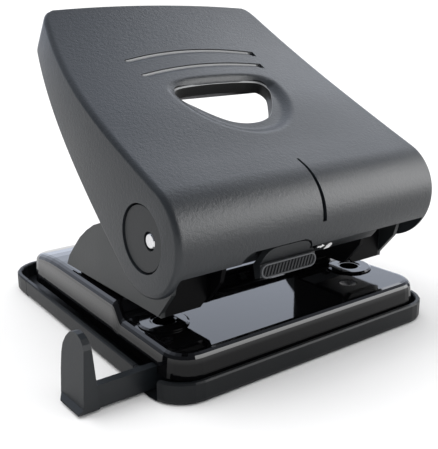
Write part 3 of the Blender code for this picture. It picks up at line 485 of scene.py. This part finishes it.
# ---- lock ----------------------------------------------------------------------------------------
PAD_Y, PAD_Z, PAD_HALF = -22.15, 31.75, 1.95
PAD_X0, PAD_X1 = -20.6, 0.4
RIBS = 15
FACE_TOP, FACE_LOW, FACE_BACK = 198.9, 222, 229     # angles round the nose
FACE_X0, FACE_ROUND, FACE_DROP = LOCK_X0 - 1.4, 4.0, 13.0
FACE_CURL_X, FACE_CURL, FACE_CURL_DROP, FACE_TAIL_X = -7.6, 5.2, 14.0, -2.4
RIB_MARGIN, RIB_LEAN, RIB_HALF = 1.5, 0.35, 0.3
STRIP_R, STRIP_INNER, STRIP_OUTER, STRIP_LOW = 16.1, 12.9, 14.2, 226
STRIP_X0, STRIP_X1, LIP_X1 = -34, 30, 27.6
MARK_ANGLE, SIGN_ANGLE = 217.0, 218.5


def rounded_drop(into, reach, drop):
    """How far a quarter-round edge has dropped at a place along it."""
    return drop * (1 - sqrt(1 - clamp(into / reach) ** 2))


def button_top(x):
    """Angle of the button's upper edge around the nose; both its ends are rounded."""
    if x < FACE_X0 + FACE_ROUND:
        return FACE_TOP + rounded_drop(FACE_X0 + FACE_ROUND - x, FACE_ROUND, FACE_DROP)
    if x < FACE_TAIL_X:
        return FACE_TOP + rounded_drop(x - FACE_CURL_X, FACE_CURL, FACE_CURL_DROP)
    return 212.9 + 6.0 * ((x - FACE_TAIL_X) / 3.0) ** 2


def stadium(grow):
    """The pad's outline, with round ends, grown by a distance."""
    half, count = PAD_HALF + grow, 14
    return (arc(PAD_X1 + grow - half, PAD_Z, half, -90, 90, count)
            + arc(PAD_X0 - grow + half, PAD_Z, half, 90, 270, count))


def lock_face(plastic):
    """The button's smooth upper face, in line with the nose."""
    xs = [FACE_X0 + FACE_ROUND * (1 - cos(radians(15 * k))) for k in range(7)] + [-14.0, FACE_CURL_X]
    xs += [FACE_CURL_X + FACE_CURL * sin(radians(15 * k)) for k in range(1, 6)]
    xs += [FACE_TAIL_X, -1.4, -0.4, LOCK_X1 + 0.1]
    rings = []
    for x in xs:
        top = button_top(x)
        ring = arc(NOSE_Y, NOSE_Z, NOSE_R - 0.1, top, FACE_LOW, 8)
        ring += [(PAD_Y + 0.25, 33.9), (PAD_Y + 0.25, 29.9), (-19.6, 29.0)]
        ring += arc(NOSE_Y, NOSE_Z, NOSE_R - 1.9, FACE_BACK, top, 8)
        rings.append([(x, y, z) for y, z in ring])
    place(shade(loft("lock_face", rings)), "lock", plastic, "lock_plastic", "lock_button")


def lock_pad(pad_plastic, painted_highlight_plastic):
    """The thumb pad under the face, and its raised border, whose lighter colour is a painted highlight."""
    plate = prism("lock_pad", stadium(0.0), "Y", PAD_Y, PAD_Y + 1.2)
    place(shade(plate), "lock", pad_plastic, "lock_plastic")
    border = prism("lock_border", stadium(0.2), "Y", PAD_Y - 0.4, PAD_Y + 1.2)
    cut(border, prism("t", stadium(-0.25), "Y", PAD_Y - 3, PAD_Y + 3))
    place(shade(border), "lock", painted_highlight_plastic, "lock_plastic")


def lock_ribs(plastic):
    """Slanted ribs on the pad, shorter towards its round ends, painted lighter than the pad as a painted
    highlight.
    """
    ribs, reach = None, PAD_HALF - 0.45
    for k in range(RIBS):
        x = PAD_X0 + RIB_MARGIN + (PAD_X1 - PAD_X0 - 2 * RIB_MARGIN) * k / (RIBS - 1)
        into_end = max(0.0, abs(x - (PAD_X0 + PAD_X1) / 2) - (PAD_X1 - PAD_X0) / 2 + PAD_HALF)
        tall = sqrt(max(0.1, reach * reach - into_end * into_end))
        lean = RIB_LEAN * tall
        low, high = PAD_Z - tall, PAD_Z + tall
        rib = prism("lock_ribs", [(x - lean - RIB_HALF, low), (x - lean + RIB_HALF, low),
                                  (x + lean + RIB_HALF, high), (x + lean - RIB_HALF, high)],
                    "Y", PAD_Y - 0.3, PAD_Y + 0.4)
        ribs = add(ribs, rib) if ribs else rib
    place(shade(ribs), "lock", plastic, "lock_plastic")


def on_strip(name, outline, centre):
    """A thin mark on the strip; outline points are X and millimetres down its curve."""
    rings = []
    for radius in (STRIP_R - 0.1, STRIP_R + 0.12):
        rings.append([(x,) + on_nose(centre + s / radians(STRIP_R), radius) for x, s in outline])
    return loft(name, rings)


def latch_strip(plastic, ink):
    """The strip that carries the button, its lip in line with the nose, and two small marks on it."""
    strip = ring_sector("latch_strip", STRIP_INNER, STRIP_OUTER, 190, STRIP_LOW, STRIP_X0, STRIP_X1, 30)
    add(strip, ring_sector("t", 13.5, STRIP_R, 213.0, STRIP_LOW, LOCK_X1 + 0.6, LIP_X1, 20))
    slot_inner, slot_outer, slot_x0, slot_x1 = 11, 16, -22.3, -6.2
    cut(strip, ring_sector("t", slot_inner, slot_outer, 198, 212, slot_x0, slot_x1, 8))
    place(shade(strip), "handle", plastic, "lock_plastic", "latch_strip")
    arrow = on_strip("lock_arrow", [(1.7, -0.3), (3.2, -0.3), (3.2, -0.9), (4.7, 0.0), (3.2, 0.9), (3.2, 0.3),
                                    (1.7, 0.3)], MARK_ANGLE)
    sign = on_strip("lock_sign", [(5.9, -0.1), (8.1, -0.1), (8.1, 1.9), (5.9, 1.9)], SIGN_ANGLE)
    bow = arc(7.0, 0.0, 0.95, 180, 360, 13) + arc(7.0, 0.0, 0.5, 360, 180, 13)
    add(sign, on_strip("t", [(x, s - 0.05) for x, s in bow], SIGN_ANGLE))
    for mark in (arrow, sign):
        place(mark, "handle", ink, "lock_plastic")


def return_springs(material, slot):
    """The pins' return springs, copies of the frame's spring meshes placed on the base."""
    for side in ("left", "right"):
        node = side + "_pin_spring"
        coil = bpy.data.objects.new(side + "_coil", NODES[node].data.copy())
        bpy.context.scene.collection.objects.link(coil)
        place(coil, "base", material, slot, node)
        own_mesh(coil)


# ---- materials -----------------------------------------------------------------------------------
SIDE_SHADE_GLOSS = 0.78                           # share of a plastic's gloss left on its left and right faces, a painted shade that dims their reflection
SHADED_SKIRT_Z = (0.0105, 0.0140)                      # metres: the enamel's reflection, weakened low on the skirt as painted shade, comes back between these heights
OUTER_X = (0.0448, 0.0452)                      # metres: the towers' outer plates begin here, either side


class Shader:
    """A small wrapper that wires nodes of one material."""

    def __init__(self, name):
        self.mat = bpy.data.materials.new(name)
        self.mat.use_nodes = True
        self.tree = self.mat.node_tree
        self.bsdf = self.tree.nodes["Principled BSDF"]
        self.coords = self.tree.nodes.new("ShaderNodeTexCoord").outputs["Object"]

    def node(self, kind, inputs=None, **settings):
        made = self.tree.nodes.new(kind)
        for key, value in settings.items():
            setattr(made, key, value)
        for key, value in (inputs or {}).items():
            self.feed(made.inputs[key], value)
        return made

    def feed(self, socket, value):
        if hasattr(value, "is_output"):
            self.tree.links.new(value, socket)
        else:
            socket.default_value = value

    def noise(self, scale, detail=2.0, rough=0.5, stretch=None):
        vector = self.coords
        if stretch:
            vector = self.node("ShaderNodeMapping", {"Vector": vector, "Scale": stretch}).outputs["Vector"]
        made = self.node("ShaderNodeTexNoise", {"Vector": vector, "Scale": scale, "Detail": detail,
                                                "Roughness": rough})
        return made.outputs["Fac"]

    def remap(self, value, low, high, to_low, to_high):
        made = self.node("ShaderNodeMapRange", {"Value": value, "From Min": low, "From Max": high,
                                                "To Min": to_low, "To Max": to_high})
        return made.outputs["Result"]

    def mix(self, factor, a, b):
        made = self.node("ShaderNodeMix", data_type="RGBA")
        self.feed(made.inputs["Factor"], factor)
        self.feed(made.inputs["A"], a)
        self.feed(made.inputs["B"], b)
        return made.outputs["Result"]

    def math(self, operation, a, b):
        made = self.node("ShaderNodeMath", operation=operation)
        self.feed(made.inputs[0], a)
        self.feed(made.inputs[1], b)
        return made.outputs["Value"]

    def bump(self, height, strength, distance, normal=None):
        made = self.node("ShaderNodeBump", {"Height": height, "Strength": strength, "Distance": distance})
        if normal:
            self.feed(made.inputs["Normal"], normal)
        return made.outputs["Normal"]

    def sideways(self):
        """How far the surface faces left or right, from 0 to 1."""
        return self.math("ABSOLUTE", self.geometry("Normal", "X"), 0.0)

    def geometry(self, vector, axis):
        """One axis of the surface's position or normal."""
        source = self.node("ShaderNodeNewGeometry").outputs[vector]
        return self.node("ShaderNodeSeparateXYZ", {"Vector": source}).outputs[axis]

    def edges(self, low=0.52, high=0.62):
        point = self.node("ShaderNodeNewGeometry").outputs["Pointiness"]
        return self.remap(point, low, high, 0.0, 1.0)

    def set(self, **inputs):
        for key, value in inputs.items():
            self.feed(self.bsdf.inputs[key.replace("_", " ")], value)
        return self.mat


def rgba(r, g, b):
    return (r, g, b, 1.0)


def moulded_plastic(name, colour, roughness, grain, gloss=0.5, wear=0.25, fine=2600.0):
    """Moulded plastic: spark-eroded grain, cloudy gloss and faintly polished edges, with a painted shade that
    weakens the reflection on faces turned left or right.
    """
    s = Shader(name)
    cloud = s.noise(35.0, 3.0)
    pale = tuple(min(1.0, c * 1.12 + 0.002) for c in colour)
    base = s.mix(s.remap(cloud, 0.35, 0.65, 0.0, 1.0), rgba(*colour), rgba(*pale))
    polished = tuple(min(1.0, c * 1.5 + 0.01) for c in colour)
    base = s.mix(s.math("MULTIPLY", s.edges(), wear), base, rgba(*polished))
    speck = s.noise(fine, 2.0, 0.6)
    coarse = s.noise(fine * 0.35, 2.0, 0.5)
    normal = s.bump(speck, grain, 0.00012)
    normal = s.bump(coarse, grain * 0.6, 0.0002, normal)
    rough = s.remap(s.math("ADD", cloud, speck), 0.7, 1.3, roughness - 0.04, roughness + 0.05)
    # painted shade: less reflection on the faces turned left or right
    return s.set(Base_Color=base, Roughness=rough, Normal=normal,
                 Specular_IOR_Level=s.remap(s.sideways(), 0.75, 0.95, gloss, gloss * SIDE_SHADE_GLOSS))


def gloss_enamel(name, colour):
    """Black enamel: nearly mirror smooth, with orange peel and faint smudges, and a painted shade low on its
    skirt that weakens its reflection and coat.
    """
    s = Shader(name)
    peel = s.noise(260.0, 1.0, 0.4)
    smudge = s.noise(28.0, 4.0, 0.6)
    dust = s.remap(s.noise(3200.0, 1.0), 0.72, 0.78, 0.0, 0.25)
    base = s.mix(dust, rgba(*colour), rgba(0.03, 0.03, 0.034))
    rough = s.remap(smudge, 0.4, 0.7, 0.045, 0.1)
    # painted shade: weaker reflection and no coat low on the skirt
    upper = s.remap(s.geometry("Position", "Z"), *SHADED_SKIRT_Z, 0.0, 1.0)
    return s.set(Base_Color=base, Roughness=rough, Normal=s.bump(peel, 0.05, 0.0002),
                 Specular_IOR_Level=s.remap(upper, 0.0, 1.0, 0.2, 0.5),
                 Coat_Weight=s.remap(upper, 0.0, 1.0, 0.0, 0.25), Coat_Roughness=0.03)


def painted_steel(name, colour, roughness, gloss=0.4):
    """Painted sheet: grey on the outer plates; everything between them gets a black painted shade and a
    weaker reflection.
    """
    s = Shader(name)
    cloud = s.noise(60.0, 3.0)
    pale = tuple(c * 1.15 + 0.003 for c in colour)
    base = s.mix(s.remap(cloud, 0.35, 0.65, 0.0, 1.0), rgba(*colour), rgba(*pale))
    base = s.mix(s.math("MULTIPLY", s.edges(0.54, 0.66), 0.3), base, rgba(0.16, 0.165, 0.17))
    # painted shade: the parts between the outer plates are turned black and reflect less
    outer = s.remap(s.math("ABSOLUTE", s.geometry("Position", "X"), 0.0), *OUTER_X, 0.0, 1.0)
    base = s.mix(outer, rgba(0.002, 0.002, 0.0025), base)
    peel = s.noise(900.0, 2.0)
    return s.set(Base_Color=base, Roughness=s.remap(cloud, 0.3, 0.7, roughness - 0.04, roughness + 0.05),
                 Normal=s.bump(peel, 0.12, 0.0002), Specular_IOR_Level=s.remap(outer, 0.0, 1.0, 0.06, gloss))


def bare_steel(name, colour, roughness, stretch, metallic=1.0):
    """Ground steel with fine lines across the stretched axis."""
    s = Shader(name)
    lines = s.noise(900.0, 3.0, 0.6, stretch)
    cloud = s.noise(90.0, 3.0)
    dark = tuple(c * 0.72 for c in colour)
    base = s.mix(s.remap(s.math("ADD", lines, cloud), 0.75, 1.25, 0.0, 1.0), rgba(*dark), rgba(*colour))
    rough = s.remap(lines, 0.3, 0.7, roughness - 0.07, roughness + 0.08)
    return s.set(Base_Color=base, Metallic=metallic, Roughness=rough, Normal=s.bump(lines, 0.2, 0.00006))


def assign(material, *names):
    """Give CAD nodes a material."""
    for name in names:
        for slot in NODES[name].material_slots:
            slot.material = material


def pairs(*names):
    return [side + "_" + name for name in names for side in ("left", "right")]


# ---- studio --------------------------------------------------------------------------------------
WORLD_FRONT, WORLD_BACK, WORLD_FILL, WORLD_SEEN = 0.14, 1.42, 1.12, 1.1
WORLD_FACING, WORLD_SPREAD = (0.45, 0.80, 0.40), (0.35, 0.9)
WORLD_TINT = (0.88, 0.95, 1.1)
FLOOR_HALF = 8.0
SUN, SUN_ANGLE, SUN_FROM = 1.3, 55, (-0.36, 0.44, 0.82)
# each soft box: name, width, height, power, place, what it faces (metres)
BOXES = (("side_box", 0.62, 0.44, 5.0, (0.42, -0.38, 0.25), (0, -0.01, 0.05)),
         ("top_box", 0.5, 0.34, 0.85, (0.54, 0.24, 0.56), (0, 0.01, 0.08)))
CAMERA_AT = (-0.153545, -0.176212, 0.106769)
CAMERA_DOWN, CAMERA_TURN = 16.6447, -37.3649
LENS, SENSOR = 60.62, 36.0


def choose(tree, factor, a, b, kind="FLOAT"):
    """A mix node: a at factor 0, b at factor 1; each is a value or a socket."""
    made = tree.nodes.new("ShaderNodeMix")
    made.data_type = kind
    tree.links.new(factor, made.inputs["Factor"])
    for key, value in (("A", a), ("B", b)):
        if hasattr(value, "is_output"):
            tree.links.new(value, made.inputs[key])
        else:
            made.inputs[key].default_value = value
    return made.outputs["Result"]


def room(scene):
    """White room: bright above and behind, darker towards the camera's side, a little blue in reflections."""
    scene.view_settings.view_transform = "Standard"
    world = bpy.data.worlds.new("studio")
    scene.world = world
    world.use_nodes = True
    tree = world.node_tree
    facing = tree.nodes.new("ShaderNodeVectorMath")
    facing.operation = "DOT_PRODUCT"
    tree.links.new(tree.nodes.new("ShaderNodeTexCoord").outputs["Generated"], facing.inputs[0])
    facing.inputs[1].default_value = WORLD_FACING
    ramp = tree.nodes.new("ShaderNodeMapRange")
    ramp.inputs["From Min"].default_value, ramp.inputs["From Max"].default_value = WORLD_SPREAD
    ramp.inputs["To Min"].default_value = WORLD_FRONT
    ramp.inputs["To Max"].default_value = WORLD_BACK
    tree.links.new(facing.outputs["Value"], ramp.inputs["Value"])
    path = tree.nodes.new("ShaderNodeLightPath").outputs
    filled = choose(tree, path["Is Diffuse Ray"], ramp.outputs["Result"], WORLD_FILL)
    strength = choose(tree, path["Is Camera Ray"], filled, WORLD_SEEN)
    colour = choose(tree, path["Is Glossy Ray"], rgba(1.0, 1.0, 1.0), rgba(*WORLD_TINT), "RGBA")
    tree.links.new(colour, tree.nodes["Background"].inputs["Color"])
    tree.links.new(strength, tree.nodes["Background"].inputs["Strength"])


def pale_floor(scene):
    mesh, far = bpy.data.meshes.new("floor"), FLOOR_HALF
    mesh.from_pydata([(-far, -far, 0), (far, -far, 0), (far, far, 0), (-far, far, 0)], [], [(0, 1, 2, 3)])
    floor = bpy.data.objects.new("floor", mesh)
    scene.collection.objects.link(floor)
    s = Shader("floor_paper")
    patches = s.remap(s.noise(6.0, 3.0), 0.3, 0.7, 0.0, 1.0)
    mesh.materials.append(s.set(Base_Color=s.mix(patches, rgba(0.835, 0.835, 0.84), rgba(0.85, 0.85, 0.855)),
                                Roughness=0.85, Specular_IOR_Level=0.1,
                                Normal=s.bump(s.noise(900.0, 3.0), 0.05, 0.0002)))


def soft_box(scene, name, width, height, power, at, towards):
    """A rectangular light that shows in reflections only."""
    data = bpy.data.lights.new(name, "AREA")
    data.shape = "RECTANGLE"
    data.size, data.size_y = width, height
    data.energy = power
    light = bpy.data.objects.new(name, data)
    light.location = at
    light.rotation_euler = (Vector(towards) - light.location).to_track_quat("-Z", "Y").to_euler()
    light.visible_diffuse = False
    scene.collection.objects.link(light)


def sky(scene):
    """A wide soft sun from above and behind, which doesn't show in reflections."""
    data = bpy.data.lights.new("sky", "SUN")
    data.energy = SUN
    data.angle = radians(SUN_ANGLE)
    light = bpy.data.objects.new("sky", data)
    light.rotation_euler = Vector(SUN_FROM).to_track_quat("Z", "Y").to_euler()
    light.visible_glossy = False
    scene.collection.objects.link(light)


def studio():
    scene = bpy.context.scene
    room(scene)
    pale_floor(scene)
    for entry in BOXES:
        soft_box(scene, *entry)
    sky(scene)


def camera():
    data = bpy.data.cameras.new("camera")
    data.sensor_width = SENSOR
    data.lens = LENS
    data.clip_start = 0.01
    obj = bpy.data.objects.new("camera", data)
    obj.location = CAMERA_AT
    obj.rotation_euler = Euler((radians(90 - CAMERA_DOWN), 0.0, radians(CAMERA_TURN)), "XYZ")
    bpy.context.scene.collection.objects.link(obj)
    bpy.context.scene.camera = obj


# ---- put it together -----------------------------------------------------------------------------
enamel = gloss_enamel("gloss_black", (0.002, 0.002, 0.0024))
cover_plastic = moulded_plastic("charcoal_grain", (0.011, 0.0135, 0.0165), 0.38, 0.6, 0.45)
# painted shade for the window's wall and the grooves' upper edges, painted highlight for the window's chamfer
# and the grooves' floors
painted_shade_plastic = moulded_plastic("window_wall_painted_shade", (0.0015, 0.0018, 0.002), 0.5, 0.3)
painted_highlight_plastic = moulded_plastic("window_rim_painted_highlight", (0.16, 0.165, 0.17), 0.35, 0.1)
# painted highlight: the lock's border is painted much lighter than the button it belongs to
border_highlight_plastic = moulded_plastic("lock_border", (0.06, 0.063, 0.068), 0.4, 0.1, 0.3)
cap_plastic = moulded_plastic("charcoal_smooth", (0.008, 0.0095, 0.011), 0.42, 0.12, 0.34)
tray_plastic = moulded_plastic("tray_black", (0.004, 0.005, 0.006), 0.36, 0.15, 0.17)
guide_plastic = moulded_plastic("guide_black", (0.006, 0.008, 0.010), 0.4, 0.1, 0.3)
# painted highlight: the ribs are a lighter copy of the lock's black plastic
rib_highlight_plastic = moulded_plastic("lock_ribs", (0.012, 0.013, 0.015), 0.35, 0.1, 0.25)
white_ink = moulded_plastic("white_ink", (0.75, 0.75, 0.75), 0.5, 0.1)
lock_plastic = moulded_plastic("lock_black", (0.006, 0.007, 0.008), 0.34, 0.15, 0.2)
tower_paint = painted_steel("tower_grey", (0.010, 0.012, 0.013), 0.4, 0.32)
steel = bare_steel("bright_steel", (0.72, 0.72, 0.73), 0.26, (1.0, 1.0, 0.08))
black_steel = bare_steel("black_steel", (0.05, 0.05, 0.052), 0.4, (0.08, 1.0, 1.0), 0.7)

assign(enamel, "base_plate", *pairs("die_bush"))
assign(tray_plastic, "chip_tray", "chip_flap")
assign(guide_plastic, "paper_guide")
assign(tower_paint, *pairs("tower"))
assign(cap_plastic, *pairs("pivot_cap"))
assign(black_steel, "lever_frame", "guide_keeper", *pairs("guide_block", "press_cam"))
assign(steel, "pivot_axle", "lock_bolt", "flap_hinge_pin", "guide_stop_screw",
       *pairs("axle_bush", "cam_pin", "axle_clip", "punch_pin", "handle_screw", "front_rivet",
              "rear_rivet", "front_screw", "rear_screw"))
handle_cover(cover_plastic, painted_shade_plastic, painted_highlight_plastic)
lock_face(cap_plastic)
lock_pad(lock_plastic, border_highlight_plastic)
lock_ribs(rib_highlight_plastic)
latch_strip(lock_plastic, white_ink)
return_springs(steel, "bright_steel")

camera()
studio()
